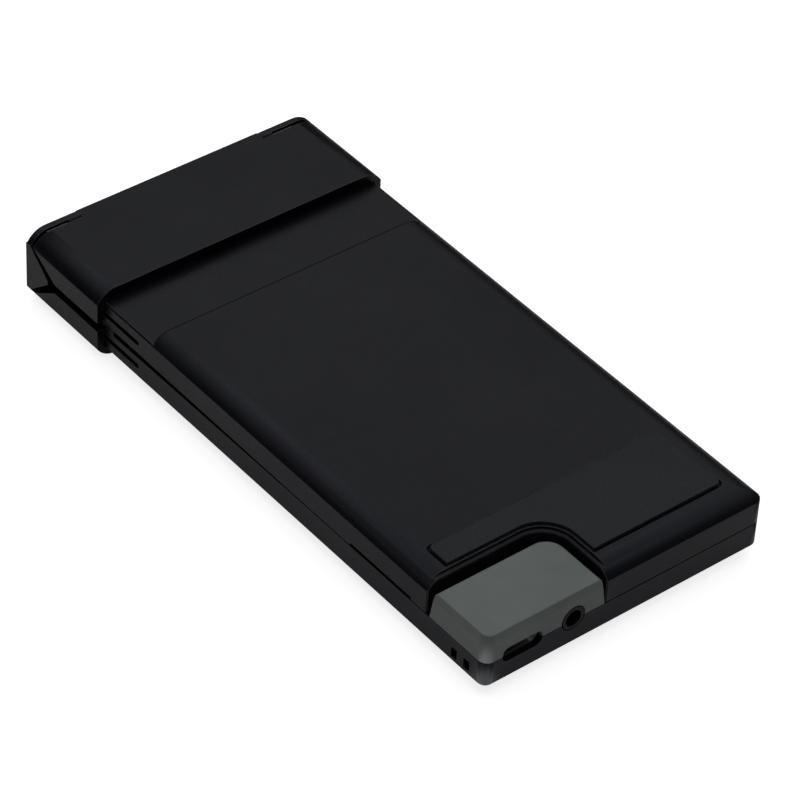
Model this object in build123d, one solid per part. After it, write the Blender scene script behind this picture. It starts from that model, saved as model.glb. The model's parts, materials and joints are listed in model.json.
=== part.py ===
from build123d import *
import os

# Foldable 25-key keyboard controller, closed.
# It has two halves with their keys facing each other. Each half slides in a wing, and the two wings
# are hinged on a spine. Units are millimetres.
# Working frame: X runs from the spine's outer face to the connector end, Y runs across the width with
# the player's side at +Y, and Z is 0 at the seam between the halves.
# Pieces of a half are drawn with their outer side at +Z. The lower half is that drawing mirrored.
# Exported frame: the same axes, with the origin at the centre of the closed object's underside.

# ---- closed object
LENGTH = 142.0
BODY_WIDTH = 67.0
HALF_THICKNESS = 8.2  # seam to the wing's and the foot pad's outer face
SHELL_TOP = 7.6  # seam to the shell's outer face
SHELL_CREASE = 5.3  # seam to the crease where the rounded edge meets the wall
EDGE_RUN = 4.5  # width of the rounded edge
CORNER_R = 2.1  # front corners in plan
INSIDE_CORNER_R = 2.9
SEAM_GAP = 0.18  # from the mid-plane to each shell's rim

# ---- shell of a half
HALF_START = 9.3  # hinge end of a half when closed
STEP_X = 39.75  # end of the landing that the wing slides over
STEP_EDGE_R = 1.0
LANDING_TOP = 5.65
WALL = 1.6
MAIN_FLOOR_INSIDE = 6.2
LANDING_FLOOR_INSIDE = 4.4
END_CHAMFER = 1.0
RIM_TAPER_START = 27.5
RIM_TAPER_END = 90.0
UPPER_RIM_AT_HINGE = 0.5
LOWER_RIM_AT_HINGE = 0.9
END_WALL_RIM = 3.4  # the chassis and the first key reach over the hinge-end wall
FLOOR_POST_X = (50.0, 75.0, 100.0)
FLOOR_POST_Y = (-20.0, 0.0, 20.0)

# ---- wings
WING_WIDTH = 70.3
WING_CREASE = 5.5
WING_UNDERSIDE = 5.8
WING_LIP_X = 24.4
WING_SKIRT_EDGE = 1.1  # the side wall stops this far from the seam
SLIDE_GAP = 0.15  # between a half's side and the wing's wall
MITRE_TOP = (2.6, 5.7)
MITRE_BOTTOM = (9.8, 1.1)

# ---- hinge
AXIS_X = 1.2
AXIS_Z = 7.0
KNUCKLE_R = 1.2
KNUCKLE_EDGE_R = 0.25  # the knuckle is square towards the outside
ARM_TIP_Y = (-23.3, 21.75)  # tips of the two arms; the wing's knuckle fills the space between them
ARM_BOSS = 2.7  # length of the round boss at the arm's tip
ARM_WIDTH = 1.6
ARM_EDGE_R = 0.5
WING_BACK_X = 2.5  # the wing's edge behind the slot beside the arm
HINGE_GAP = 0.15
PIN_R = 0.6
PIN_RUNNING_GAP = 0.05
PIN_FIXED_GAP = 0.01
PIN_IN_KNUCKLE = 4.6
PIN_IN_ARM = 7.9
SPINE_PLATE = 1.2
CHEEK_NOSE_X = 7.4
CHEEK_NOSE_START = (7.05, 0.72)  # where the cheek's straight edge meets its round nose
CHEEK_TOP = (1.3, 5.55)

# ---- slide guides
TRAVEL = 15.0
GUIDE_PIN_X = 20.4
GUIDE_Z = 2.85
GUIDE_PIN_R = 0.55
GUIDE_SLOT_R = 0.6
GUIDE_SLOT_DEPTH = 1.05
GUIDE_PIN_ROOT = 0.5  # length of the guide pin inside the wing's wall

# ---- corner notch of the upper half; radii are in plan, round the notch's centre
NOTCH_CENTRE = (131.0, -11.1)
NOTCH_R = 6.0
NOTCH_RIM_R = 7.0
COVE_R = 0.35
COVE_CENTRE_R = 6.65
COVE_Z = 7.3
BEAD_R = 0.36
BEAD_Z = 6.85
NOTCH_EDGE = 0.3  # bevel on the upright edges where the notch opens through the walls
POCKET_NOTCH_R = 7.4
PAD_NOTCH_R = 7.6

# ---- pod that stands in the notch on the lower half
POD_X = 126.05
POD_Y = -5.35
POD_INNER_CORNER_R = 4.9
POD_DRAFT = 9.5  # degrees, on the two inner faces
POD_BASE = 0.05
POD_TOP = 6.5
POD_WALL = 1.3
POD_BEVEL = (0.3, 1.75)  # inwards and downwards, on the two outer faces
POD_OUTER_EDGE_R = 0.3
POD_INNER_EDGE_R = 0.7
LEDGE_R = 7.6  # ledge of the lower half round the pod, under the notch
LEDGE_THICKNESS = 1.2
POD_SUPPORT_R = (3.3, 4.6)  # wall of the lower half under the pod

# ---- foot pad
PAD_X = (117.75, 135.95)
PAD_HALF_Y = 27.8
PAD_CORNER_R = 1.3
PAD_POCKET_GAP = 0.5
PAD_POCKET_FLOOR = 7.1

# ---- connectors in the front wall
USB_Y = -24.75
USB_Z = 0.15
USB_CUT = (9.4, 3.4)
USB_CUT_CORNER_R = 1.5
USB_SHELL_WIDTH = 8.94
USB_SHELL_HEIGHT = 3.26
USB_SHELL_END_R = 1.61
USB_SHELL_METAL = 0.3
USB_SHELL_LENGTH = 7.35
USB_RECESS = 1.3  # from the front face to the socket's mouth
USB_LEG = (1.0, 0.8)
USB_LEG_FROM_MOUTH = (2.0, 6.5)
USB_LEG_INSET = 1.0
USB_TONGUE = (5.2, 6.7, 0.7)
JACK_Y = -12.8
JACK_Z = 0.5
JACK_CUT_R = 2.8
JACK_NOZZLE_R = 2.55
JACK_BORE_R = 1.8
JACK_BORE_LENGTH = 12.0
JACK_BODY = (11.0, 6.0, 5.0)
BOARD_TOP_AT_CONNECTORS = -2.1
CONNECTOR_BOARD = (12.3, 23.4, 0.8)
CONNECTOR_BOARD_GAP = (0.2, 0.3)  # from the front and side walls
CONNECTOR_POSTS = ((130.5, -29.0), (130.5, -10.5), (137.5, -16.8))

# ---- strap holes and the finger recess on the -Y side
STRAP_HOLE_X = (133.4, 136.95)
STRAP_HOLE = (1.7, 2.3)
STRAP_HOLE_Z = -3.4
FINGER_X = (102.6, 120.6)
FINGER_HEIGHT = 0.75
FINGER_DEPTH = 0.8

# ---- layers under the keys, measured outwards from the seam
CHASSIS = (2.98, 3.35)
MAT = (3.40, 3.70)
BOARD = (3.75, 4.35)
LAYER_START = 10.0
BOARD_START = 12.0
LAYER_END = 140.2
LAYER_HALF_Y = 31.7
LAYER_NOTCH_R = 7.75

# ---- keys
KEY_PITCH = 16.2
KEY_GAP = 0.5
KEY_HALF_Y = 31.3
WHITE_TOP = 1.0
WHITE_PLATE = 0.8
BLACK_TOP = 0.3
BLACK_PLATE = 1.2
KEY_SKIRT = 2.05
KEY_WALL = 1.0
KEY_EDGE = 0.25
BLACK_WIDTH = 9.0
BLACK_FRONT_Y = 5.0
BLACK_SIDE_GAP = 0.4
BLACK_CORNER_R = 0.8
SHORT_KEY_BACK_Y = -3.2
PEG_R = 0.9
PEG_HOLE_R = 0.98
PEG_END = 3.3
BOARD_PEG_HOLE_R = 1.3
DOME_R = (2.2, 1.4)
DOME_TOP = 2.75
DOME_GAP = 0.3
WHITE_DOME_Y = 18.6
WHITE_PEG_SPREAD = 9.0
BLACK_DOME_Y = -13.15
BLACK_PEG_SPREAD = 12.0

# ---- control strip beside the lower keys
PANEL_TOP = 0.3
PANEL_THICKNESS = 1.0
PANEL_WALL = 0.8
PANEL_GAP = 0.1  # from the upper half's notch
PANEL_OVERHANG = 0.4  # past the ends of the keys
BUTTON = (6.6, 9.6)
BUTTON_X = (127.6, 136.0)
BUTTON_Y = (2.2, 13.9, 25.6)
BUTTON_TOP = 0.3
BUTTON_GAP = 0.3
BUTTON_CORNER_R = 1.2
BUTTON_THICKNESS = 1.3
BUTTON_DOME_OFFSET = 2.7
BUTTON_DOME_R = (1.2, 0.8)

# ---- screws
PAD_SCREWS = ((120.2, -24.0), (120.2, 24.0), (131.8, 24.0), (131.8, 2.0))
HINGE_SCREWS = ((14.5, -24.0), (14.5, 0.0), (14.5, 24.0))
SCREW_HEAD_R = 1.6
SCREW_HEAD_HEIGHT = 0.8
SCREW_SHANK_R = 0.8
SCREW_END = 3.6
SCREW_CROSS = (1.8, 0.4, 0.4)
SHANK_HOLE_R = 0.95
BOSS_R = 2.0
BOSS_HOLE_R = 0.85
BOARD_BOSS_HOLE_R = 2.3
SHELL_BOSS_R = 2.8
SHELL_BOSS_END = 5.6
BOSS_GAP = 0.05
POST_R = 1.5

# ---- flexible cable between the boards
CABLE_WIDTH = 18.0
CABLE_THICKNESS = 0.14
CABLE_Z = 4.05
CABLE_SLOT = (20.0, 0.8)
SPINE_CABLE_LENGTH = 10.0
SPINE_CHANNEL = 0.2
SPINE_CHANNEL_GAP = 0.2
SPINE_CABLE_GAP = 0.02

SIDE_Y = BODY_WIDTH / 2
WING_SIDE_Y = WING_WIDTH / 2
FRAME_SHIFT = Pos(-LENGTH / 2, 0, HALF_THICKNESS)

# White keys from the fold outwards, and black keys by how many white keys lie between them and the fold.
LOWER_WHITES = ("b1", "a1", "g1", "f1", "e1", "d1", "c1")
LOWER_BLACKS = {1: "a_sharp1", 2: "g_sharp1", 3: "f_sharp1", 5: "d_sharp1", 6: "c_sharp1"}
UPPER_WHITES = ("c2", "d2", "e2", "f2", "g2", "a2", "b2", "c3")
UPPER_BLACKS = {1: "c_sharp2", 2: "d_sharp2", 4: "f_sharp2", 5: "g_sharp2", 6: "a_sharp2"}


def box(x, y, z):
    """A block between low and high values on each axis."""
    centre = Pos((x[0] + x[1]) / 2, (y[0] + y[1]) / 2, (z[0] + z[1]) / 2)
    return centre * Box(x[1] - x[0], y[1] - y[0], z[1] - z[0])


def rod(x, y, z, radius):
    """An upright cylinder between two heights."""
    return Pos(x, y, (z[0] + z[1]) / 2) * Cylinder(radius, z[1] - z[0])


def rod_along_y(x, y, z, radius):
    """A cylinder along Y between two places."""
    return Pos(x, (y[0] + y[1]) / 2, z) * Rot(90, 0, 0) * Cylinder(radius, y[1] - y[0])


def rod_along_x(x, y, z, radius):
    """A cylinder along X between two places."""
    return Pos((x[0] + x[1]) / 2, y, z) * Rot(0, 90, 0) * Cylinder(radius, x[1] - x[0])


def slab(face, z):
    """A flat face drawn on XY, raised into a solid between two heights."""
    return Pos(0, 0, z[0]) * extrude(face, amount=z[1] - z[0])


def flip(shape):
    """Turn a drawing of the upper half into the lower half's."""
    return mirror(shape, about=Plane.XY)


def save(shape, name):
    export_step(FRAME_SHIFT * shape, f"parts/{name}.step")


def both_sides(shape):
    """The shape and its mirror image across the width."""
    return shape + mirror(shape, about=Plane.XZ)


# ---- outlines shared by several pieces

def crowned_section(half_width, top, crease, bottom):
    """Cross-section across the width: flat outer face, arc down to the crease, straight wall."""
    flat = half_width - EDGE_RUN
    with BuildSketch(Plane.YZ) as section:
        with BuildLine():
            Line((-flat, top), (flat, top))
            TangentArc((flat, top), (half_width, crease), tangent=(1, 0))
            Line((half_width, crease), (half_width, bottom))
            Line((half_width, bottom), (-half_width, bottom))
            Line((-half_width, bottom), (-half_width, crease))
            TangentArc((-flat, top), (-half_width, crease), tangent=(-1, 0))
        make_face()
    return section.sketch


def front_section(bottom):
    """Lengthwise section: the same rounded edge at the connector end."""
    flat = LENGTH - EDGE_RUN
    with BuildSketch(Plane.XZ) as section:
        with BuildLine():
            Polyline((0, bottom), (0, SHELL_TOP), (flat, SHELL_TOP))
            TangentArc((flat, SHELL_TOP), (LENGTH, SHELL_CREASE), tangent=(1, 0))
            Polyline((LENGTH, SHELL_CREASE), (LENGTH, bottom), (0, bottom))
        make_face()
    return section.sketch


def crowned_body(bottom):
    """Outer form of a half: rounded edges on both sides and the front, mitred at the front corners."""
    trunk = extrude(crowned_section(SIDE_Y, SHELL_TOP, SHELL_CREASE, bottom), amount=LENGTH - HALF_START)
    body = (Pos(HALF_START, 0, 0) * trunk) & extrude(front_section(bottom), amount=WING_SIDE_Y, both=True)
    front_edges = [edge for edge in body.edges() if edge.center().X > LENGTH - EDGE_RUN]
    corner_edges = [edge for edge in front_edges if abs(edge.center().Y) > SIDE_Y - EDGE_RUN]
    return fillet(corner_edges, CORNER_R)


def notch_outline(radius):
    """The front corner at -Y, out past the walls, bounded by an arc round the notch's centre."""
    centre_x, centre_y = NOTCH_CENTRE
    far_x = LENGTH + radius
    far_y = -SIDE_Y - radius
    with BuildSketch() as outline:
        with BuildLine():
            Line((far_x, far_y), (centre_x - radius, far_y))
            Line((centre_x - radius, far_y), (centre_x - radius, centre_y))
            RadiusArc((centre_x - radius, centre_y), (centre_x, centre_y + radius), radius)
            Polyline((centre_x, centre_y + radius), (far_x, centre_y + radius), (far_x, far_y))
        make_face()
    return outline.sketch


def notch_path(radius):
    """The notch's edge as a path, running out past both walls."""
    centre_x, centre_y = NOTCH_CENTRE
    with BuildLine() as path:
        Line((centre_x - radius, -SIDE_Y - radius), (centre_x - radius, centre_y))
        RadiusArc((centre_x - radius, centre_y), (centre_x, centre_y + radius), radius)
        Line((centre_x, centre_y + radius), (LENGTH + radius, centre_y + radius))
    return path.line


def round_rail(radius_in_plan, height, rail_radius):
    """A round bar that follows the notch's edge at a height."""
    path = Pos(0, 0, height) * notch_path(radius_in_plan)
    section = Plane(origin=path @ 0, z_dir=path % 0) * Circle(rail_radius)
    return sweep(section, path=path)


def rounded_rectangle(x, y, radius):
    centre = Pos((x[0] + x[1]) / 2, (y[0] + y[1]) / 2)
    return centre * RectangleRounded(x[1] - x[0], y[1] - y[0], radius)


def pad_outline(gap, notch_radius):
    """Foot pad in plan, grown by a gap, with the notch taken out of it when there is one."""
    x = (PAD_X[0] - gap, PAD_X[1] + gap)
    y = (-PAD_HALF_Y - gap, PAD_HALF_Y + gap)
    outline = rounded_rectangle(x, y, PAD_CORNER_R)
    if notch_radius:
        outline -= notch_outline(notch_radius)
    return outline


# ---- shells

def countersink(x, y, face_z, bottom_z):
    """Clearance for one screw: a cone for the head and a hole for the shank."""
    cone_top_r = SCREW_HEAD_R + BOSS_GAP
    head = Pos(x, y, face_z - SCREW_HEAD_HEIGHT / 2) * Cone(SHANK_HOLE_R, cone_top_r, SCREW_HEAD_HEIGHT)
    return head + rod(x, y, (bottom_z, face_z), SHANK_HOLE_R)


def rim_taper(rim_at_hinge):
    """The wedge between the halves' rims, from the hinge end to two thirds of the length."""
    with BuildSketch(Plane.XZ) as wedge:
        with BuildLine():
            Polyline(
                (RIM_TAPER_START, -1),
                (RIM_TAPER_START, rim_at_hinge),
                (RIM_TAPER_END, SEAM_GAP),
                (RIM_TAPER_END, -1),
                close=True,
            )
        make_face()
    return extrude(wedge.sketch, amount=WING_WIDTH / 2, both=True)


def guide_slot():
    """A blind slot in the side wall at +Y that a wing's guide pin runs in."""
    end_x = GUIDE_PIN_X + TRAVEL
    y = (SIDE_Y - GUIDE_SLOT_DEPTH, SIDE_Y + 1)
    slot = box((GUIDE_PIN_X, end_x), y, (GUIDE_Z - GUIDE_SLOT_R, GUIDE_Z + GUIDE_SLOT_R))
    for x in (GUIDE_PIN_X, end_x):
        slot += rod_along_y(x, y, GUIDE_Z, GUIDE_SLOT_R)
    return slot


def half_shell(rim_at_hinge, notch):
    """Outer tray of a half, with its landing, guide slots, pad pocket, bosses and screw holes."""
    outer = crowned_body(SEAM_GAP)
    shell = outer - box((0, STEP_X), (-SIDE_Y, SIDE_Y), (LANDING_TOP, SHELL_TOP))
    step_edge = shell.edges().filter_by(Axis.Y).group_by(Axis.Z)[-1].sort_by(Axis.X)[0]
    shell = fillet(step_edge, STEP_EDGE_R)
    inside_y = (-SIDE_Y + WALL, SIDE_Y - WALL)
    front_x = LENGTH - WALL
    cavity = box((STEP_X + WALL, front_x), inside_y, (0, MAIN_FLOOR_INSIDE))
    cavity += box((HALF_START + WALL, front_x), inside_y, (0, LANDING_FLOOR_INSIDE))
    cavity += box((0, HALF_START + WALL), inside_y, (0, END_WALL_RIM))
    front_corners = cavity.edges().filter_by(Axis.Z).group_by(Axis.X)[-1]
    cavity = fillet(front_corners, INSIDE_CORNER_R)
    if notch:
        cavity -= slab(notch_outline(NOTCH_R + WALL), (0, SHELL_TOP))
    shell -= cavity
    end_edge = shell.edges().filter_by(Axis.Y).group_by(Axis.X)[0].sort_by(Axis.Z)[-1]
    shell = chamfer(end_edge, END_CHAMFER)
    shell -= rim_taper(rim_at_hinge)
    shell -= both_sides(guide_slot())
    slot_y = (-CABLE_SLOT[0] / 2, CABLE_SLOT[0] / 2)
    slot_z = (CABLE_Z - CABLE_SLOT[1] / 2, CABLE_Z + CABLE_SLOT[1] / 2)
    shell -= box((HALF_START - 1, HALF_START + WALL + 1), slot_y, slot_z)
    for x, y in PAD_SCREWS:
        shell += rod(x, y, (SHELL_BOSS_END, MAIN_FLOOR_INSIDE), SHELL_BOSS_R)
    for x in FLOOR_POST_X:
        for y in FLOOR_POST_Y:
            shell += rod(x, y, (BOARD[1] + BOSS_GAP, MAIN_FLOOR_INSIDE), POST_R)
    pocket = pad_outline(PAD_POCKET_GAP, POCKET_NOTCH_R if notch else 0)
    shell -= slab(pocket, (PAD_POCKET_FLOOR, HALF_THICKNESS))
    for x, y in PAD_SCREWS:
        shell -= countersink(x, y, PAD_POCKET_FLOOR, SHELL_BOSS_END - 1)
    for x, y in HINGE_SCREWS:
        shell -= countersink(x, y, LANDING_TOP, LANDING_FLOOR_INSIDE - 1)
    if notch:
        shell = rolled_notch(shell, outer)
    return shell


def rolled_notch(shell, outer):
    """Open the corner for the pod: a thin rim and a cove lead down to a round bead and the notch's wall."""
    shell -= slab(notch_outline(NOTCH_RIM_R), (COVE_Z, HALF_THICKNESS))
    shell -= round_rail(COVE_CENTRE_R, COVE_Z, COVE_R)
    shell -= slab(notch_outline(COVE_CENTRE_R), (COVE_Z - COVE_R, HALF_THICKNESS))
    shell += round_rail(NOTCH_R + BEAD_R, BEAD_Z, BEAD_R) & outer
    shell -= slab(notch_outline(NOTCH_R), (0, HALF_THICKNESS))
    bevel = Rot(0, 0, 45) * Box(NOTCH_EDGE * 2**0.5, NOTCH_EDGE * 2**0.5, 2 * SHELL_CREASE)
    shell -= Pos(NOTCH_CENTRE[0] - NOTCH_R, -SIDE_Y, 0) * bevel
    return shell - Pos(LENGTH, NOTCH_CENTRE[1] + NOTCH_R, 0) * bevel


def upper_shell():
    shell = half_shell(UPPER_RIM_AT_HINGE, notch=True)
    shell -= box(FINGER_X, (-SIDE_Y - 1, -SIDE_Y + FINGER_DEPTH), (0, FINGER_HEIGHT))
    return shell


def connector_cuts():
    """Clearance for the two sockets, cut through the front wall of the shell and of the pod."""
    front = (LENGTH - POD_WALL - 1, LENGTH + 1)
    half_width, half_height = USB_CUT[0] / 2, USB_CUT[1] / 2
    usb = box(front, (USB_Y - half_width, USB_Y + half_width), (USB_Z - half_height, USB_Z + half_height))
    usb = fillet(usb.edges().filter_by(Axis.X), USB_CUT_CORNER_R)
    return usb + rod_along_x(front, JACK_Y, JACK_Z, JACK_CUT_R)


def pod_ledge():
    """Ledge and inner wall of the lower shell that carry the pod and close the gap round it."""
    inner = notch_outline(POD_SUPPORT_R[0])
    ledge = slab(notch_outline(LEDGE_R) - inner, (-SEAM_GAP - LEDGE_THICKNESS, -SEAM_GAP))
    ledge += slab(notch_outline(POD_SUPPORT_R[1]) - inner, (-MAIN_FLOOR_INSIDE, -SEAM_GAP))
    return ledge & box((0, LENGTH - WALL / 2), (-SIDE_Y + WALL / 2, SIDE_Y), (-SHELL_TOP, 0))


def lower_shell():
    shell = flip(half_shell(LOWER_RIM_AT_HINGE, notch=False)) + pod_ledge()
    board_bottom = BOARD_TOP_AT_CONNECTORS - CONNECTOR_BOARD[2]
    for x, y in CONNECTOR_POSTS:
        shell += rod(x, y, (-MAIN_FLOOR_INSIDE, board_bottom - BOSS_GAP), POST_R)
    shell -= connector_cuts()
    for x in STRAP_HOLE_X:
        hole_x = (x - STRAP_HOLE[0] / 2, x + STRAP_HOLE[0] / 2)
        hole_z = (STRAP_HOLE_Z - STRAP_HOLE[1] / 2, STRAP_HOLE_Z + STRAP_HOLE[1] / 2)
        shell -= box(hole_x, (-SIDE_Y - 1, -SIDE_Y + WALL + 1), hole_z)
    return shell


def foot_pad(notch_radius):
    return slab(pad_outline(0, notch_radius), (PAD_POCKET_FLOOR, HALF_THICKNESS))


# ---- pod over the connectors

def pod_inner_form(inset, z):
    """Block with the pod's two drafted inner faces; its other sides lie past the outer walls."""
    x = (POD_X + inset, LENGTH + WING_WIDTH)
    y = (-WING_WIDTH, POD_Y - inset)
    outline = rounded_rectangle(x, y, POD_INNER_CORNER_R - inset)
    return Pos(0, 0, z[0]) * extrude(outline, amount=z[1] - z[0], taper=POD_DRAFT)


def pod_outer_form(inset, z):
    """Block with the pod's two upright outer faces, flush with the lower half's walls."""
    x = (HALF_START, LENGTH - inset)
    y = (-SIDE_Y + inset, SIDE_Y)
    return slab(rounded_rectangle(x, y, CORNER_R - inset), z)


def pod_cover():
    z = (POD_BASE, POD_TOP)
    inner = pod_inner_form(0, z)
    inner = fillet(inner.faces().sort_by(Axis.Z)[-1].edges(), POD_INNER_EDGE_R)
    outer = pod_outer_form(0, z)
    top = outer.faces().sort_by(Axis.Z)[-1]
    outer = chamfer(top.edges(), *POD_BEVEL, reference=top)
    outer = fillet(outer.faces().sort_by(Axis.Z)[-1].edges(), POD_OUTER_EDGE_R)
    inside = (0, POD_TOP - POD_WALL)
    cover = (inner & outer) - (pod_inner_form(POD_WALL, inside) & pod_outer_form(POD_WALL, inside))
    return cover - connector_cuts()


def usb_shell_outline(grow):
    return RectangleRounded(
        USB_SHELL_WIDTH + 2 * grow, USB_SHELL_HEIGHT + 2 * grow, USB_SHELL_END_R + grow
    )


def usb_socket():
    """Metal receptacle: an oval tube, closed at the back, with four legs on the board."""
    mouth_x = LENGTH - USB_RECESS
    start = Plane(origin=(mouth_x, USB_Y, USB_Z), x_dir=(0, 1, 0), z_dir=(-1, 0, 0))
    tube = extrude(start * usb_shell_outline(0), amount=USB_SHELL_LENGTH)
    inside_length = USB_SHELL_LENGTH - USB_SHELL_METAL
    tube -= extrude(start * usb_shell_outline(-USB_SHELL_METAL), amount=inside_length)
    leg_z = (BOARD_TOP_AT_CONNECTORS, USB_Z - USB_SHELL_HEIGHT / 2 + USB_SHELL_METAL / 2)
    for from_mouth in USB_LEG_FROM_MOUTH:
        leg_x = (mouth_x - from_mouth - USB_LEG[0] / 2, mouth_x - from_mouth + USB_LEG[0] / 2)
        for side in (-1, 1):
            y = USB_Y + side * (USB_SHELL_WIDTH / 2 - USB_LEG_INSET)
            tube += box(leg_x, (y - USB_LEG[1] / 2, y + USB_LEG[1] / 2), leg_z)
    return tube


def usb_tongue():
    length, width, thickness = USB_TONGUE
    back_x = LENGTH - USB_RECESS - USB_SHELL_LENGTH + USB_SHELL_METAL + BOSS_GAP
    y = (USB_Y - width / 2, USB_Y + width / 2)
    return box((back_x, back_x + length), y, (USB_Z - thickness / 2, USB_Z + thickness / 2))


def jack_socket():
    """3.5 mm jack: a body on the board with a nozzle that reaches the front face."""
    length, width, height = JACK_BODY
    front_x = LENGTH - WALL - BOSS_GAP
    z = (BOARD_TOP_AT_CONNECTORS, BOARD_TOP_AT_CONNECTORS + height)
    body = box((front_x - length, front_x), (JACK_Y - width / 2, JACK_Y + width / 2), z)
    body += rod_along_x((front_x - 1, LENGTH), JACK_Y, JACK_Z, JACK_NOZZLE_R)
    return body - rod_along_x((LENGTH - JACK_BORE_LENGTH, LENGTH + 1), JACK_Y, JACK_Z, JACK_BORE_R)


def connector_board():
    length, width, thickness = CONNECTOR_BOARD
    front_x = LENGTH - WALL - CONNECTOR_BOARD_GAP[0]
    side_y = -SIDE_Y + WALL + CONNECTOR_BOARD_GAP[1]
    x = (front_x - length, front_x)
    y = (side_y, side_y + width)
    z = (BOARD_TOP_AT_CONNECTORS - thickness, BOARD_TOP_AT_CONNECTORS)
    board = box(x, y, z)
    front_corner = board.edges().filter_by(Axis.Z).group_by(Axis.X)[-1].sort_by(Axis.Y)[0]
    board = fillet(front_corner, INSIDE_CORNER_R)
    return board & slab(notch_outline(POD_SUPPORT_R[0] - SLIDE_GAP), z)


# ---- keys and the layers under them

class Button:
    """One key or button: its outline in plan and where its pegs and dome sit."""

    def __init__(self, name, outline, top, plate, pegs, dome, dome_r=DOME_R):
        self.name = name
        self.outline = outline
        self.top = top
        self.plate = plate
        self.pegs = pegs
        self.dome = dome
        self.dome_r = dome_r

    def solid(self):
        """A cap with a skirt and guide pegs, open towards the circuit board."""
        cap = slab(self.outline, (self.top, KEY_SKIRT))
        cap = chamfer(cap.faces().sort_by(Axis.Z)[0].edges(), KEY_EDGE)
        inside = offset(self.outline, -KEY_WALL, kind=Kind.INTERSECTION)
        cap -= slab(inside, (self.top + self.plate, KEY_SKIRT))
        for x, y in self.pegs:
            cap += rod(x, y, (self.top + self.plate, PEG_END), PEG_R)
        return cap


def white_outline(index, blacks, back_y):
    """A white key in plan, cut away beside each neighbouring black key."""
    start_x = HALF_START + index * KEY_PITCH
    outline = rounded_rectangle(
        (start_x + KEY_GAP / 2, start_x + KEY_PITCH - KEY_GAP / 2), (back_y, KEY_HALF_Y), KEY_GAP
    )
    cut_length = KEY_HALF_Y + BLACK_FRONT_Y + BLACK_SIDE_GAP
    cut = Rectangle(BLACK_WIDTH + 2 * BLACK_SIDE_GAP, cut_length)
    for boundary in (index, index + 1):
        if boundary in blacks:
            outline -= Pos(HALF_START + boundary * KEY_PITCH, -KEY_HALF_Y + cut_length / 2) * cut
    return outline


def white_key(name, index, blacks, back_y):
    x = HALF_START + (index + 0.5) * KEY_PITCH
    pegs = [(x, WHITE_DOME_Y - WHITE_PEG_SPREAD), (x, WHITE_DOME_Y + WHITE_PEG_SPREAD)]
    outline = white_outline(index, blacks, back_y)
    return Button("key_" + name, outline, WHITE_TOP, WHITE_PLATE, pegs, (x, WHITE_DOME_Y))


def black_key(name, boundary):
    x = HALF_START + boundary * KEY_PITCH
    pegs = [(x, BLACK_DOME_Y - BLACK_PEG_SPREAD), (x, BLACK_DOME_Y + BLACK_PEG_SPREAD)]
    width = (x - BLACK_WIDTH / 2, x + BLACK_WIDTH / 2)
    outline = rounded_rectangle(width, (-KEY_HALF_Y, BLACK_FRONT_Y), BLACK_CORNER_R)
    return Button("key_" + name, outline, BLACK_TOP, BLACK_PLATE, pegs, (x, BLACK_DOME_Y))


def keys_of(whites, blacks, short_last):
    found = []
    for index, name in enumerate(whites):
        is_short = short_last and index == len(whites) - 1
        found.append(white_key(name, index, blacks, SHORT_KEY_BACK_Y if is_short else -KEY_HALF_Y))
    found += [black_key(name, boundary) for boundary, name in blacks.items()]
    return found


def control_buttons():
    names = ("octave_down", "octave_up", "sustain", "shift", "modulation", "pitch_bend")
    places = [(x, y) for y in BUTTON_Y for x in BUTTON_X]
    found = []
    for name, (x, y) in zip(names, places):
        outline = Pos(x, y) * RectangleRounded(BUTTON[0], BUTTON[1], BUTTON_CORNER_R)
        dome = (x, y - BUTTON_DOME_OFFSET)
        found.append(
            Button(name + "_button", outline, BUTTON_TOP, BUTTON_THICKNESS, [(x, y)], dome, BUTTON_DOME_R)
        )
    return found


def control_panel(buttons):
    """Plate round the control buttons, on a skirt that stands on the chassis."""
    x = (HALF_START + len(LOWER_WHITES) * KEY_PITCH + KEY_GAP / 2, LAYER_END)
    y = (NOTCH_CENTRE[1] + LAYER_NOTCH_R + PANEL_GAP, KEY_HALF_Y + PANEL_OVERHANG)
    panel = box(x, y, (PANEL_TOP, CHASSIS[0]))
    front_corner = panel.edges().filter_by(Axis.Z).group_by(Axis.X)[-1].sort_by(Axis.Y)[-1]
    panel = fillet(front_corner, INSIDE_CORNER_R)
    inside = (PANEL_TOP + PANEL_THICKNESS, CHASSIS[0])
    panel -= box((x[0] + PANEL_WALL, x[1] - PANEL_WALL), (y[0] + PANEL_WALL, y[1] - PANEL_WALL), inside)
    for button in buttons:
        panel -= slab(offset(button.outline, BUTTON_GAP), (0, CHASSIS[0]))
    return panel


def layer_outline(start_x):
    """Plan of the chassis, mat and board inside a half, clear of the connector corner."""
    outline = rounded_rectangle((start_x, LAYER_END), (-LAYER_HALF_Y, LAYER_HALF_Y), INSIDE_CORNER_R)
    return outline - notch_outline(LAYER_NOTCH_R)


def chassis(buttons):
    """Steel plate that guides the pegs and carries the screw bosses."""
    plate = slab(layer_outline(LAYER_START), CHASSIS)
    for button in buttons:
        plate -= rod(*button.dome, (0, BOARD[1]), max(button.dome_r) + DOME_GAP)
        for x, y in button.pegs:
            plate -= rod(x, y, (0, BOARD[1]), PEG_HOLE_R)
    for screws, boss_end in ((PAD_SCREWS, SHELL_BOSS_END), (HINGE_SCREWS, LANDING_FLOOR_INSIDE)):
        for x, y in screws:
            plate += rod(x, y, (CHASSIS[0], boss_end - BOSS_GAP), BOSS_R)
            plate -= rod(x, y, (CHASSIS[1], boss_end), BOSS_HOLE_R)
    return plate


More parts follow.
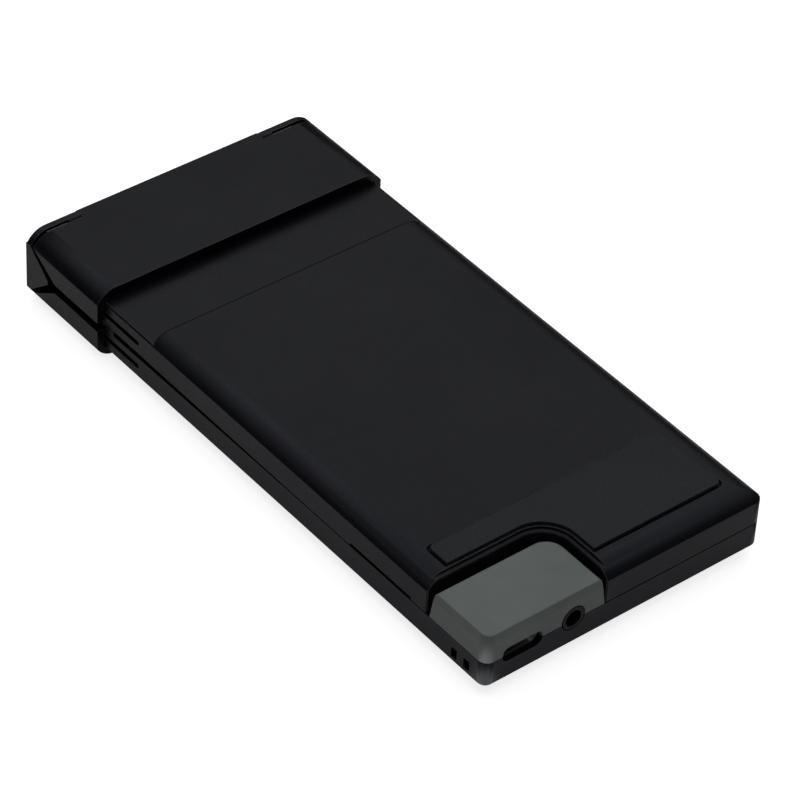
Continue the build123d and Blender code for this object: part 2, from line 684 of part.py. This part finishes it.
def layer(buttons, start_x, z):
    """Flat sheet with clearance for every peg and screw boss."""
    sheet = slab(layer_outline(start_x), z)
    for button in buttons:
        for x, y in button.pegs:
            sheet -= rod(x, y, (0, SHELL_TOP), BOARD_PEG_HOLE_R)
    for x, y in PAD_SCREWS + HINGE_SCREWS:
        sheet -= rod(x, y, (0, SHELL_TOP), BOARD_BOSS_HOLE_R)
    return sheet


def contact_mat(buttons):
    """Silicone sheet with one dome under each key and button."""
    mat = layer(buttons, BOARD_START, MAT)
    for button in buttons:
        x, y = button.dome
        base_r, top_r = button.dome_r
        mat += Pos(x, y, (DOME_TOP + MAT[0]) / 2) * Cone(top_r, base_r, MAT[0] - DOME_TOP)
    return mat


def screws():
    """Countersunk screws from the outer face into the chassis bosses."""
    group = []
    for places, face in ((PAD_SCREWS, PAD_POCKET_FLOOR), (HINGE_SCREWS, LANDING_TOP)):
        for x, y in places:
            head_z = face - SCREW_HEAD_HEIGHT / 2
            head = Pos(x, y, head_z) * Cone(SCREW_SHANK_R, SCREW_HEAD_R, SCREW_HEAD_HEIGHT)
            screw = head + rod(x, y, (SCREW_END, head_z), SCREW_SHANK_R)
            length, width, depth = SCREW_CROSS
            for cross in (Box(length, width, 2 * depth), Box(width, length, 2 * depth)):
                screw -= Pos(x, y, face) * cross
            group.append(screw)
    return Compound(children=group)


def board_cable():
    """Flat cable from the board's edge out through the hinge-end wall."""
    y = (-CABLE_WIDTH / 2, CABLE_WIDTH / 2)
    z = (CABLE_Z - CABLE_THICKNESS / 2, CABLE_Z + CABLE_THICKNESS / 2)
    return box((HALF_START, BOARD_START), y, z)


# ---- wings, spine and hinge pins

def hinge_spans(inwards, outwards):
    """Ranges along Y at the two arm tips, each running into the knuckle and into the arm."""
    low, high = ARM_TIP_Y
    return (low - outwards, low + inwards), (high - inwards, high + outwards)


def wing():
    """Sleeve that a half slides in, hinged on the spine by a long central knuckle."""
    section = crowned_section(WING_SIDE_Y, HALF_THICKNESS, WING_CREASE, WING_SKIRT_EDGE)
    form = extrude(section, amount=WING_LIP_X)
    inner_y = SIDE_Y + SLIDE_GAP
    form -= box((0, WING_LIP_X), (-inner_y, inner_y), (0, WING_UNDERSIDE))
    knuckle_y = (ARM_TIP_Y[0] + HINGE_GAP, ARM_TIP_Y[1] - HINGE_GAP)
    form -= box((0, AXIS_X), (-WING_SIDE_Y, WING_SIDE_Y), (0, HALF_THICKNESS))
    for slot_y in ((-WING_SIDE_Y, knuckle_y[0]), (knuckle_y[1], WING_SIDE_Y)):
        form -= box((0, WING_BACK_X), slot_y, (0, HALF_THICKNESS))
    square = box((0, AXIS_X), knuckle_y, (AXIS_Z, HALF_THICKNESS))
    outer_edge = square.edges().filter_by(Axis.Y).group_by(Axis.Z)[-1].sort_by(Axis.X)[0]
    form += fillet(outer_edge, KNUCKLE_EDGE_R)
    form += rod_along_y(AXIS_X, knuckle_y, AXIS_Z, KNUCKLE_R)
    with BuildSketch(Plane.XZ) as mitre:
        with BuildLine():
            Polyline((0, 0), (0, MITRE_TOP[1]), MITRE_TOP, MITRE_BOTTOM, (MITRE_BOTTOM[0], 0), close=True)
        make_face()
    form -= extrude(mitre.sketch, amount=WING_SIDE_Y, both=True)
    for bore_y in hinge_spans(PIN_IN_KNUCKLE + HINGE_GAP, 0):
        form -= rod_along_y(AXIS_X, bore_y, AXIS_Z, PIN_R + PIN_RUNNING_GAP)
    pin_y = (SIDE_Y - GUIDE_SLOT_DEPTH + HINGE_GAP, inner_y + GUIDE_PIN_ROOT)
    form += both_sides(rod_along_y(GUIDE_PIN_X, pin_y, GUIDE_Z, GUIDE_PIN_R))
    return form


def cheek():
    """End cheek of the spine at +Y: a flat triangle with a round nose between the wings' mitres."""
    top_x, top_z = CHEEK_TOP
    nose_x, nose_z = CHEEK_NOSE_START
    with BuildSketch(Plane.XZ) as outline:
        with BuildLine():
            Polyline((0, -top_z), (0, top_z), (top_x, top_z), (nose_x, nose_z))
            ThreePointArc((nose_x, nose_z), (CHEEK_NOSE_X, 0), (nose_x, -nose_z))
            Polyline((nose_x, -nose_z), (top_x, -top_z), (0, -top_z))
        make_face()
    plate = extrude(outline.sketch, amount=WING_SIDE_Y, both=True)
    return plate & box((0, CHEEK_NOSE_X), (SIDE_Y + SLIDE_GAP, WING_SIDE_Y), (-top_z, top_z))


def spine():
    """End wall with a pair of arms at each long edge and a cheek at each end."""
    section = crowned_section(WING_SIDE_Y, HALF_THICKNESS, WING_CREASE, 0)
    half_end = extrude(section, amount=ARM_WIDTH)
    edge_z = AXIS_Z - KNUCKLE_R - HINGE_GAP
    half_end -= box((0, ARM_WIDTH), ARM_TIP_Y, (edge_z, HALF_THICKNESS))
    half_end -= box((SPINE_PLATE, ARM_WIDTH), (-WING_SIDE_Y, WING_SIDE_Y), (0, edge_z))
    top_edges = half_end.edges().filter_by(Axis.Y).group_by(Axis.Z)[-1]
    half_end = fillet(top_edges.group_by(Axis.X)[0], ARM_EDGE_R)
    for boss_y in hinge_spans(0, ARM_BOSS):
        half_end += rod_along_y(AXIS_X, boss_y, AXIS_Z, KNUCKLE_R)
    for hole_y in hinge_spans(HINGE_GAP, PIN_IN_ARM + HINGE_GAP):
        half_end -= rod_along_y(AXIS_X, hole_y, AXIS_Z, PIN_R + PIN_FIXED_GAP)
    body = half_end + flip(half_end) + both_sides(cheek())
    channel_z = SPINE_CABLE_LENGTH / 2 + SPINE_CHANNEL_GAP
    channel_y = CABLE_WIDTH / 2 + SPINE_CHANNEL_GAP
    channel_x = (SPINE_PLATE - SPINE_CHANNEL, SPINE_PLATE)
    return body - box(channel_x, (-channel_y, channel_y), (-channel_z, channel_z))


def hinge_pins():
    spans = hinge_spans(PIN_IN_KNUCKLE, PIN_IN_ARM)
    return Compound(children=[rod_along_y(AXIS_X, span, AXIS_Z, PIN_R) for span in spans])


def spine_cable():
    x = SPINE_PLATE - SPINE_CHANNEL + SPINE_CABLE_GAP
    y = (-CABLE_WIDTH / 2, CABLE_WIDTH / 2)
    return box((x, x + CABLE_THICKNESS), y, (-SPINE_CABLE_LENGTH / 2, SPINE_CABLE_LENGTH / 2))


os.makedirs("parts", exist_ok=True)

lower_keys = keys_of(LOWER_WHITES, LOWER_BLACKS, short_last=False)
upper_keys = keys_of(UPPER_WHITES, UPPER_BLACKS, short_last=True)
buttons = control_buttons()
lower_controls = lower_keys + buttons

save(lower_shell(), "lower_shell")
save(upper_shell(), "upper_shell")
save(flip(foot_pad(0)), "lower_foot_pad")
save(foot_pad(PAD_NOTCH_R), "upper_foot_pad")
save(pod_cover(), "pod_cover")
save(usb_socket(), "usb_socket")
save(usb_tongue(), "usb_tongue")
save(jack_socket(), "jack_socket")
save(connector_board(), "connector_board")

save(flip(chassis(lower_controls)), "lower_key_chassis")
save(chassis(upper_keys), "upper_key_chassis")
save(flip(contact_mat(lower_controls)), "lower_contact_mat")
save(contact_mat(upper_keys), "upper_contact_mat")
save(flip(layer(lower_controls, BOARD_START, BOARD)), "lower_circuit_board")
save(layer(upper_keys, BOARD_START, BOARD), "upper_circuit_board")
save(flip(screws()), "lower_screws")
save(screws(), "upper_screws")
save(flip(control_panel(buttons)), "control_panel")
save(flip(board_cable()), "lower_flex_cable")
save(board_cable(), "upper_flex_cable")

for button in lower_controls:
    save(flip(button.solid()), button.name)
for button in upper_keys:
    save(button.solid(), button.name)

save(flip(wing()), "lower_wing")
save(wing(), "upper_wing")
save(spine(), "spine")
save(flip(hinge_pins()), "lower_hinge_pins")
save(hinge_pins(), "upper_hinge_pins")
save(spine_cable(), "spine_flex_cable")
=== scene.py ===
import json
import math

import bmesh
import bpy
from mathutils import Matrix, Vector


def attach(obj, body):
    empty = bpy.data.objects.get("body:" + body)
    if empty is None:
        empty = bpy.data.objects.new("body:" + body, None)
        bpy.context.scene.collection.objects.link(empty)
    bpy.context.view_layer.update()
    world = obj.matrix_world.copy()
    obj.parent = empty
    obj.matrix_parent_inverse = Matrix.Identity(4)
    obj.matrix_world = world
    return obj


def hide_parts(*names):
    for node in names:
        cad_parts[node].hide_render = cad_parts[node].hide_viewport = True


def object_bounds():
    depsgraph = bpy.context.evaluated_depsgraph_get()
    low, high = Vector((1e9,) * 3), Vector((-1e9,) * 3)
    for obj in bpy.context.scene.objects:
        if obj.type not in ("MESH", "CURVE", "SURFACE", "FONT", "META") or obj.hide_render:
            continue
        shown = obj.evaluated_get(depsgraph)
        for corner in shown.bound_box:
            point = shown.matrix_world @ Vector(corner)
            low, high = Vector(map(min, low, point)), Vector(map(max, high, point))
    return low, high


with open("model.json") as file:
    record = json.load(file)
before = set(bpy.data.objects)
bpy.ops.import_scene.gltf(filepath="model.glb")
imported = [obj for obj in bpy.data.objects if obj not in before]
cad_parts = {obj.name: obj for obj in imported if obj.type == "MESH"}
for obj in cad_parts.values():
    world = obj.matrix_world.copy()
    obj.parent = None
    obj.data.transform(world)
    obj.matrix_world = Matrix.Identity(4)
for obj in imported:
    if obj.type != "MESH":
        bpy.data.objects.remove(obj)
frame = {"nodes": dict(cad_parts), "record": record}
CAD_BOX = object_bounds()
NODES = frame["nodes"]
MM = 0.001

# Camera, at the viewing angle of the photograph.
CAMERA_PLACE = (0.4495, -0.3824, 0.5087)
CAMERA_TARGET = (0.0047, -0.0003, 0.0082)
CAMERA_ROLL = 3.43
CAMERA_LENS = 180.5
CAMERA_SENSOR = 36.0

# The room: bright behind the object, dim behind the camera.
ROOM_BRIGHT_SIDE = (-0.22, 0.19, 0.95)
ROOM_FADE = (0.45, 0.98)  # cosines of the angle from the bright side
ROOM_DIM = 0.09
ROOM_HORIZON = (0.05, 0.45)  # the room darkens towards the horizon
ROOM_BRIGHT = 0.92
ROOM_SEEN = 0.95  # the pale backdrop that the camera sees above the floor
FLOOR_SIZE = 6.0
FLOOR_SEEN = 0.80
FLOOR_REFLECTED = 0.13
FLOOR_GLINT = 3.0  # a bright patch that only reflections show, in front of the connector corner
FLOOR_GLINT_PLACE = (0.0745, -0.0375, 0.0)
FLOOR_GLINT_SIZE = 0.011
FLOOR_COLOUR = (0.75, 0.75, 0.75)
FLOOR_NEAR = (0.09, 0.15)  # only this near the object does the floor show in reflections
FLOOR_FAR_TONE = 0.1  # how much of its colour the far floor keeps in reflections
FLOOR_DROP = 0.05 * MM  # below the object's lowest point
SOFT_BOX_PLACE = (-0.45, 0.25, 1.1)
SOFT_BOX_SIZE = 0.45
SOFT_BOX_RADIANCE = 0.6

# Edges and crevices: lighter edges (wear and painted highlight), painted shade in crevices.
BEVEL_ANGLE = math.radians(38.0)  # edges sharper than this are rounded
FLAT_ANGLE = math.radians(1.0)  # faces that meet at less than this are one flat face
SPLIT_GAP = 0.002 * MM  # split vertices closer than this are joined
EDGE_REACH = 0.25 * MM  # how far from an edge the plastic is made lighter, partly as wear and partly as painted highlight
KEY_EDGE_REACH = 0.3 * MM
# how strongly edges take the lighter colour, as wear and painted highlight
EDGE_WEAR_AND_HIGHLIGHT = 0.6
KEY_EDGE_WEAR = 0.3
# reach of the painted shade in crevices
PAINTED_CREVICE_SHADE_REACH = 0.9 * MM
WING_BEVEL = 0.2  # these three, as in BEVELS, are in millimetres
PAD_ROUNDING = 0.16
MAT_ROUNDING = 0.05


# ---- node helpers

class Graph:
    """A material's node tree, with one method for each kind of node that the recipes use."""

    def __init__(self, material):
        self.tree = material.node_tree
        self.shader = self.tree.nodes["Principled BSDF"]
        self.place = self.tree.nodes.new("ShaderNodeTexCoord").outputs["Object"]

    def node(self, kind, values=None, links=None, **settings):
        made = self.tree.nodes.new(kind)
        for key, value in settings.items():
            setattr(made, key, value)
        for key, value in (values or {}).items():
            made.inputs[key].default_value = value
        for key, source in (links or {}).items():
            self.tree.links.new(source, made.inputs[key])
        return made

    def stretched(self, scale):
        """The object's coordinates stretched along each axis."""
        return self.node("ShaderNodeMapping", {"Scale": scale}, {"Vector": self.place}).outputs[0]

    def noise(self, size, detail=3.0, roughness=0.55, place=None):
        """Cloudy noise with features of about the given size in metres."""
        values = {"Scale": 1.0 / size, "Detail": detail, "Roughness": roughness}
        return self.node("ShaderNodeTexNoise", values, {"Vector": place or self.place}).outputs["Fac"]

    def cells(self, size, feature="F1"):
        values = {"Scale": 1.0 / size}
        made = self.node("ShaderNodeTexVoronoi", values, {"Vector": self.place}, feature=feature)
        return made.outputs["Distance"]

    def distance(self, place):
        made = self.node("ShaderNodeVectorMath", links={0: self.place}, operation="DISTANCE")
        made.inputs[1].default_value = place
        return made.outputs["Value"]

    def remap(self, source, low, high, to_low, to_high):
        values = {"From Min": low, "From Max": high, "To Min": to_low, "To Max": to_high}
        return self.node("ShaderNodeMapRange", values, {"Value": source}).outputs["Result"]

    def math(self, operation, first, second):
        made = self.node("ShaderNodeMath", operation=operation)
        for socket, value in zip(made.inputs, (first, second)):
            if isinstance(value, (int, float)):
                socket.default_value = value
            else:
                self.tree.links.new(value, socket)
        return made.outputs[0]

    def mix(self, factor, first, second):
        """Mix two colours, each a colour value or a link."""
        made = self.node("ShaderNodeMix", data_type="RGBA")
        for socket, value in zip((made.inputs[0], made.inputs[6], made.inputs[7]), (factor, first, second)):
            if isinstance(value, (int, float, tuple)):
                socket.default_value = value
            else:
                self.tree.links.new(value, socket)
        return made.outputs[2]

    def bump(self, height, depth, normal=None):
        links = {"Height": height}
        if normal:
            links["Normal"] = normal
        return self.node("ShaderNodeBump", {"Strength": 1.0, "Distance": depth}, links).outputs[0]

    def edge_mask(self, radius):
        """About 0 on faces and 1 on edges, from how far a rounded normal turns away from the real one."""
        rounded = self.node("ShaderNodeBevel", {"Radius": radius}, samples=4).outputs[0]
        normal = self.node("ShaderNodeNewGeometry").outputs["Normal"]
        dot = self.node("ShaderNodeVectorMath", operation="DOT_PRODUCT")
        self.tree.links.new(rounded, dot.inputs[0])
        self.tree.links.new(normal, dot.inputs[1])
        return self.remap(dot.outputs["Value"], 0.995, 0.90, 0.0, 1.0)

    def painted_crevice_shade_mask(self, reach):
        """Painted shade for crevices: 1 on open faces, falling to 0 deep in a crevice."""
        open_sky = self.node("ShaderNodeAmbientOcclusion", {"Distance": reach}, samples=6).outputs["AO"]
        return self.remap(open_sky, 0.35, 0.9, 0.0, 1.0)

    def finish(self, colour=None, roughness=None, normal=None, specular=None, **values):
        sources = {"Base Color": colour, "Roughness": roughness, "Normal": normal}
        sources["Specular IOR Level"] = specular
        for name, source in sources.items():
            if source is not None:
                self.tree.links.new(source, self.shader.inputs[name])
        for name, value in values.items():
            self.shader.inputs[name.replace("_", " ")].default_value = value


def tone(colour, factor):
    return (colour[0] * factor, colour[1] * factor, colour[2] * factor, 1.0)


def new_material(name):
    material = bpy.data.materials.new(name)
    material.use_nodes = True
    return material, Graph(material)


# ---- finishes

def moulded_plastic(name, colour, roughness, grain=0.22, depth=0.010, edge_wear_and_highlight_colour=None, specular=0.3,
                    smudge=0.07, tint=(1.0, 1.0, 1.0)):
    """Satin moulded plastic: eroded grain, handling marks, painted shade in crevices and lighter, smoother
    edges, their lightness partly wear and partly painted highlight.
    """
    edge_wear_and_highlight_colour = edge_wear_and_highlight_colour or tone(colour, 1.5)
    material, graph = new_material(name)
    fine = graph.noise(grain * MM, detail=4.0, roughness=0.7)
    pits = graph.cells(grain * 1.7 * MM)
    clouds = graph.noise(9 * MM, detail=2.0)
    handling = graph.noise(34 * MM, detail=5.0, roughness=0.7)
    edge = graph.math("MULTIPLY", graph.edge_mask(EDGE_REACH), graph.remap(clouds, 0.35, 0.65, 0.5, 1.0))
    mottle = graph.math("ADD", graph.math("MULTIPLY", fine, 0.5), graph.math("MULTIPLY", clouds, 0.5))
    body = graph.mix(graph.remap(mottle, 0.3, 0.7, 0.0, 1.0), tone(colour, 0.86), tone(colour, 1.16))
    # Lighter edges: partly wear, partly a painted highlight standing in for the glint along rounded edges.
    lightened_edges = graph.mix(graph.math("MULTIPLY", edge, EDGE_WEAR_AND_HIGHLIGHT), body, tone(edge_wear_and_highlight_colour, 1.0))
    satin = graph.remap(handling, 0.3, 0.7, roughness - smudge, roughness + smudge)
    grained = graph.math("ADD", satin, graph.remap(fine, 0.3, 0.7, -0.08, 0.08))
    rubbed = graph.math("SUBTRACT", grained, graph.math("MULTIPLY", edge, 0.10))
    height = graph.math("ADD", fine, graph.math("MULTIPLY", pits, 0.6))
    # Painted shade: the specular level falls in crevices, so they darken as if shaded.
    gloss = graph.math("MULTIPLY", graph.painted_crevice_shade_mask(PAINTED_CREVICE_SHADE_REACH), specular)
    graph.finish(lightened_edges, rubbed, graph.bump(height, depth * MM), gloss, Specular_Tint=(*tint, 1.0))
    return material


def rubber(name, colour, roughness, grain=0.35):
    """Soft grained rubber, a little dusty, with no clear reflections."""
    material, graph = new_material(name)
    grit = graph.noise(grain * MM, detail=5.0, roughness=0.75)
    pits = graph.cells(grain * 1.4 * MM)
    dust = graph.noise(5 * MM, detail=6.0, roughness=0.7)
    body = graph.mix(graph.remap(grit, 0.4, 0.6, 0.0, 1.0), tone(colour, 0.5), tone(colour, 1.6))
    dusty = graph.mix(graph.remap(dust, 0.5, 0.8, 0.0, 0.25), body, tone(colour, 2.2))
    rough = graph.remap(grit, 0.3, 0.7, roughness - 0.06, roughness + 0.08)
    height = graph.math("ADD", grit, graph.math("MULTIPLY", pits, 0.8))
    graph.finish(dusty, rough, graph.bump(height, 0.06 * MM), Specular_IOR_Level=0.3, Sheen_Weight=0.03)
    return material


def metal(name, colour, roughness, along=(1.0, 1.0, 1.0), wear=0.12):
    """Plated or rolled metal with fine drawing lines and stains."""
    material, graph = new_material(name)
    lines = graph.noise(0.12 * MM, detail=3.0, place=graph.stretched(along))
    stains = graph.noise(3 * MM, detail=4.0)
    body = graph.mix(graph.remap(stains, 0.35, 0.7, 0.0, 1.0), tone(colour, 1.05), tone(colour, 0.82))
    rough = graph.math("ADD", graph.remap(lines, 0.3, 0.7, roughness - 0.06, roughness + 0.06),
                       graph.remap(stains, 0.4, 0.7, 0.0, wear))
    graph.finish(body, rough, graph.bump(lines, 0.004 * MM), Metallic=1.0)
    return material


def key_plastic(name, colour, roughness, coat):
    """Smooth moulded key: an even face with faint fingertip gloss."""
    material, graph = new_material(name)
    flow = graph.noise(11 * MM, detail=3.0, place=graph.stretched((1.0, 0.4, 1.0)))
    fine = graph.noise(0.16 * MM, detail=3.0)
    body = graph.mix(graph.remap(flow, 0.35, 0.65, 0.0, 1.0), tone(colour, 0.965), tone(colour, 1.02))
    edge = graph.math("MULTIPLY", graph.edge_mask(KEY_EDGE_REACH), KEY_EDGE_WEAR)
    lightened_edges = graph.mix(edge, body, tone(colour, 1.12))
    rough = graph.remap(flow, 0.3, 0.7, roughness - 0.05, roughness + 0.07)
    graph.finish(lightened_edges, rough, graph.bump(fine, 0.003 * MM), Coat_Weight=coat, Coat_Roughness=0.18)
    return material


def laminate(name, colour):
    """Circuit board: solder mask with a woven ground and darker tracks."""
    material, graph = new_material(name)
    weave = graph.noise(0.5 * MM, detail=2.0, place=graph.stretched((1.0, 3.0, 1.0)))
    tracks = graph.cells(2.6 * MM, feature="DISTANCE_TO_EDGE")
    body = graph.mix(graph.remap(weave, 0.35, 0.65, 0.0, 1.0), tone(colour, 0.85), tone(colour, 1.15))
    traced = graph.mix(graph.remap(tracks, 0.0, 0.12, 0.45, 0.0), body, tone(colour, 1.9))
    graph.finish(traced, graph.remap(weave, 0.3, 0.7, 0.28, 0.42), graph.bump(tracks, 0.01 * MM))
    return material


def film(name, colour):
    """Flat cable: thin amber film over darker copper strips."""
    material, graph = new_material(name)
    strips = graph.node("ShaderNodeTexWave", {"Scale": 0.45 / MM}, {"Vector": graph.place},
                        bands_direction="Y")
    haze = graph.noise(2 * MM)
    body = graph.mix(strips.outputs["Fac"], tone(colour, 0.55), tone(colour, 1.2))
    graph.finish(body, graph.remap(haze, 0.3, 0.7, 0.22, 0.36), graph.bump(strips.outputs["Fac"], 0.01 * MM))
    return material


FINISHES = {
    # The shell's edge colour is many times lighter than its body: mostly a painted highlight along the lip
    # and notch edges, with some wear.
    "shell_plastic": moulded_plastic("satin_black_plastic", (0.0040, 0.0042, 0.0066), 0.36, grain=0.4,
                                     depth=0.012, edge_wear_and_highlight_colour=(0.150, 0.148, 0.138), specular=0.20,
                                     tint=(0.85, 0.88, 1.0)),
    "pod_plastic": moulded_plastic("grey_green_plastic", (0.150, 0.170, 0.160), 0.42, grain=0.3,
                                   edge_wear_and_highlight_colour=(0.195, 0.220, 0.208)),
    "pad_rubber": rubber("pad_rubber", (0.0110, 0.0130, 0.0175), 0.60, grain=0.42),
    "panel_plastic": moulded_plastic("panel_plastic", (0.012, 0.012, 0.013), 0.45),
    "key_white": key_plastic("white_key_plastic", (0.80, 0.80, 0.77), 0.34, 0.25),
    "key_black": moulded_plastic("black_key_plastic", (0.010, 0.010, 0.011), 0.38, grain=0.15, depth=0.006),
    "button_plastic": moulded_plastic("button_plastic", (0.10, 0.11, 0.105), 0.46, grain=0.18,
                                      edge_wear_and_highlight_colour=(0.120, 0.132, 0.126)),
    "socket_metal": metal("bright_nickel", (0.50, 0.49, 0.47), 0.34, along=(0.15, 1.0, 1.0)),
    "socket_plastic": moulded_plastic("gloss_black_plastic", (0.003, 0.003, 0.0035), 0.22, grain=0.1,
                                      depth=0.002, specular=0.12),
    "board_laminate": laminate("solder_mask", (0.012, 0.085, 0.035)),
    "chassis_steel": metal("rolled_steel", (0.46, 0.47, 0.49), 0.38, along=(0.08, 1.0, 1.0)),
    "mat_silicone": rubber("grey_silicone", (0.32, 0.33, 0.33), 0.5, grain=0.25),
    "screw_steel": metal("plated_screw_steel", (0.36, 0.36, 0.38), 0.3),
    "cable_film": film("amber_cable_film", (0.36, 0.17, 0.035)),
}
BEVELS = {
    "shell_plastic": 0.10, "pod_plastic": 0.08, "panel_plastic": 0.10, "key_white": 0.18, "key_black": 0.18,
    "button_plastic": 0.18, "socket_metal": 0.05, "socket_plastic": 0.06, "chassis_steel": 0.06,
}


def add_bevel(piece, width):
    """Small real rounding on the sharp edges, after the mesh's split vertices are joined."""
    weld = piece.modifiers.new("join", "WELD")
    weld.merge_threshold = SPLIT_GAP
    bevel = piece.modifiers.new("edges", "BEVEL")
    bevel.width = width * MM
    bevel.segments = 2
    bevel.limit_method = "ANGLE"
    bevel.angle_limit = BEVEL_ANGLE
    bevel.harden_normals = True
    bevel.use_clamp_overlap = True


def soft_piece(node_name, width, segments):
    """A soft part made from its CAD solid: one clean closed mesh with rounded edges, in place of the node."""
    form = bmesh.new()
    form.from_mesh(NODES[node_name].data)
    bmesh.ops.remove_doubles(form, verts=form.verts, dist=0.5 * SPLIT_GAP)
    bmesh.ops.dissolve_limit(form, angle_limit=FLAT_ANGLE, verts=form.verts, edges=form.edges)
    sharp = [edge for edge in form.edges
             if edge.is_manifold and edge.calc_face_angle(0.0) > BEVEL_ANGLE]
    bmesh.ops.bevel(form, geom=sharp, offset=width * MM, segments=segments, profile=0.5, affect="EDGES",
                    clamp_overlap=True)
    for face in form.faces:
        face.smooth = True
    mesh = bpy.data.meshes.new(node_name + "_soft")
    form.to_mesh(mesh)
    form.free()
    mesh.set_sharp_from_angle(angle=BEVEL_ANGLE)
    piece = bpy.data.objects.new(node_name + "_soft", mesh)
    bpy.context.scene.collection.objects.link(piece)
    mesh.materials.append(FINISHES[SLOT_OF[node_name]])
    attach(piece, BODY_OF[node_name])
    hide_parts(node_name)


SLOT_OF = {row["node"]: row["material_slot"] for row in frame["record"]["subparts"]}
BODY_OF = {node: body for body, nodes in frame["record"]["behaviour"]["bodies"].items() for node in nodes}
for name, node in NODES.items():
    slot = SLOT_OF[name]
    node.data.materials.clear()
    node.data.materials.append(FINISHES[slot])
    if name.endswith("wing"):
        add_bevel(node, WING_BEVEL)
    elif slot in BEVELS:
        add_bevel(node, BEVELS[slot])
for name in ("upper_foot_pad", "lower_foot_pad"):
    soft_piece(name, width=PAD_ROUNDING, segments=3)
for name in ("upper_contact_mat", "lower_contact_mat"):
    soft_piece(name, width=MAT_ROUNDING, segments=2)


# ---- room, light and camera

def make_room():
    world = bpy.data.worlds.new("studio")
    bpy.context.scene.world = world
    world.use_nodes = True
    tree = world.node_tree
    direction = tree.nodes.new("ShaderNodeTexCoord").outputs["Generated"]
    dot = tree.nodes.new("ShaderNodeVectorMath")
    dot.operation = "DOT_PRODUCT"
    dot.inputs[1].default_value = Vector(ROOM_BRIGHT_SIDE).normalized()
    tree.links.new(direction, dot.inputs[0])
    fade = tree.nodes.new("ShaderNodeMapRange")
    fade.interpolation_type = "SMOOTHSTEP"
    ends = {"From Min": ROOM_FADE[0], "From Max": ROOM_FADE[1], "To Min": ROOM_DIM, "To Max": ROOM_BRIGHT}
    for key, value in ends.items():
        fade.inputs[key].default_value = value
    tree.links.new(dot.outputs["Value"], fade.inputs["Value"])
    height = tree.nodes.new("ShaderNodeSeparateXYZ")
    tree.links.new(direction, height.inputs[0])
    horizon = tree.nodes.new("ShaderNodeMapRange")
    horizon.interpolation_type = "SMOOTHSTEP"
    horizon.inputs["From Min"].default_value, horizon.inputs["From Max"].default_value = ROOM_HORIZON
    tree.links.new(height.outputs["Z"], horizon.inputs["Value"])
    strength = tree.nodes.new("ShaderNodeMath")
    strength.operation = "MULTIPLY"
    tree.links.new(fade.outputs["Result"], strength.inputs[0])
    tree.links.new(horizon.outputs["Result"], strength.inputs[1])
    seen = tree.nodes.new("ShaderNodeMath")
    seen.operation = "MULTIPLY"
    seen.inputs[1].default_value = ROOM_SEEN
    tree.links.new(tree.nodes.new("ShaderNodeLightPath").outputs["Is Camera Ray"], seen.inputs[0])
    shown = tree.nodes.new("ShaderNodeMath")
    shown.operation = "MAXIMUM"
    tree.links.new(strength.outputs[0], shown.inputs[0])
    tree.links.new(seen.outputs[0], shown.inputs[1])
    tree.links.new(shown.outputs[0], tree.nodes["Background"].inputs["Strength"])
    tree.nodes["Background"].inputs["Color"].default_value = (1.0, 1.0, 1.0, 1.0)


def make_floor():
    """A pale floor. What the camera sees of it is brighter than what the object reflects."""
    bpy.ops.mesh.primitive_plane_add(size=FLOOR_SIZE)
    floor = bpy.context.object
    floor.name = "floor"
    floor.location.z = CAD_BOX[0][2] - FLOOR_DROP
    material, graph = new_material("pale_floor")
    ray = graph.node("ShaderNodeLightPath").outputs
    seen, glossy = ray["Is Camera Ray"], ray["Is Glossy Ray"]
    from_object = graph.distance((0.0, 0.0, 0.0))
    far = graph.math("MULTIPLY", glossy, graph.remap(from_object, *FLOOR_NEAR, 0.0, 1.0))
    colour = graph.mix(far, tone(FLOOR_COLOUR, 1.0), tone(FLOOR_COLOUR, FLOOR_FAR_TONE))
    glint = graph.remap(graph.distance(FLOOR_GLINT_PLACE), 0.0, FLOOR_GLINT_SIZE, FLOOR_GLINT, 0.0)
    near = graph.remap(from_object, *FLOOR_NEAR, FLOOR_REFLECTED, 0.0)
    reflected = graph.math("MULTIPLY", glossy, graph.math("ADD", glint, near))
    strength = graph.math("ADD", reflected, graph.math("MULTIPLY", seen, FLOOR_SEEN))
    graph.tree.links.new(strength, graph.shader.inputs["Emission Strength"])
    graph.finish(colour, Emission_Color=(1.0, 1.0, 1.0, 1.0), Roughness=0.8, Specular_IOR_Level=0.1)
    floor.data.materials.append(material)


def make_light(name, place, width, height, radiance):
    """A soft box aimed at the object, as bright as the given radiance."""
    data = bpy.data.lights.new(name, "AREA")
    data.shape = "RECTANGLE"
    data.size, data.size_y = width, height
    data.energy = radiance * math.pi * width * height
    light = bpy.data.objects.new(name, data)
    light.location = place
    light.rotation_euler = (Vector(CAMERA_TARGET) - Vector(place)).to_track_quat("-Z", "Y").to_euler()
    bpy.context.scene.collection.objects.link(light)


def make_camera():
    data = bpy.data.cameras.new("camera")
    data.sensor_width = CAMERA_SENSOR
    data.lens = CAMERA_LENS
    data.clip_start = 0.01
    camera = bpy.data.objects.new("camera", data)
    place = Vector(CAMERA_PLACE)
    turn = (Vector(CAMERA_TARGET) - place).to_track_quat("-Z", "Y").to_matrix()
    roll = Matrix.Rotation(math.radians(CAMERA_ROLL), 3, "Z")
    camera.matrix_world = Matrix.Translation(place) @ (turn @ roll).to_4x4()
    bpy.context.scene.collection.objects.link(camera)
    bpy.context.scene.camera = camera


make_room()
make_floor()
make_light("soft_box", SOFT_BOX_PLACE, SOFT_BOX_SIZE, SOFT_BOX_SIZE, SOFT_BOX_RADIANCE)
make_camera()
bpy.context.scene.view_settings.view_transform = "Standard"
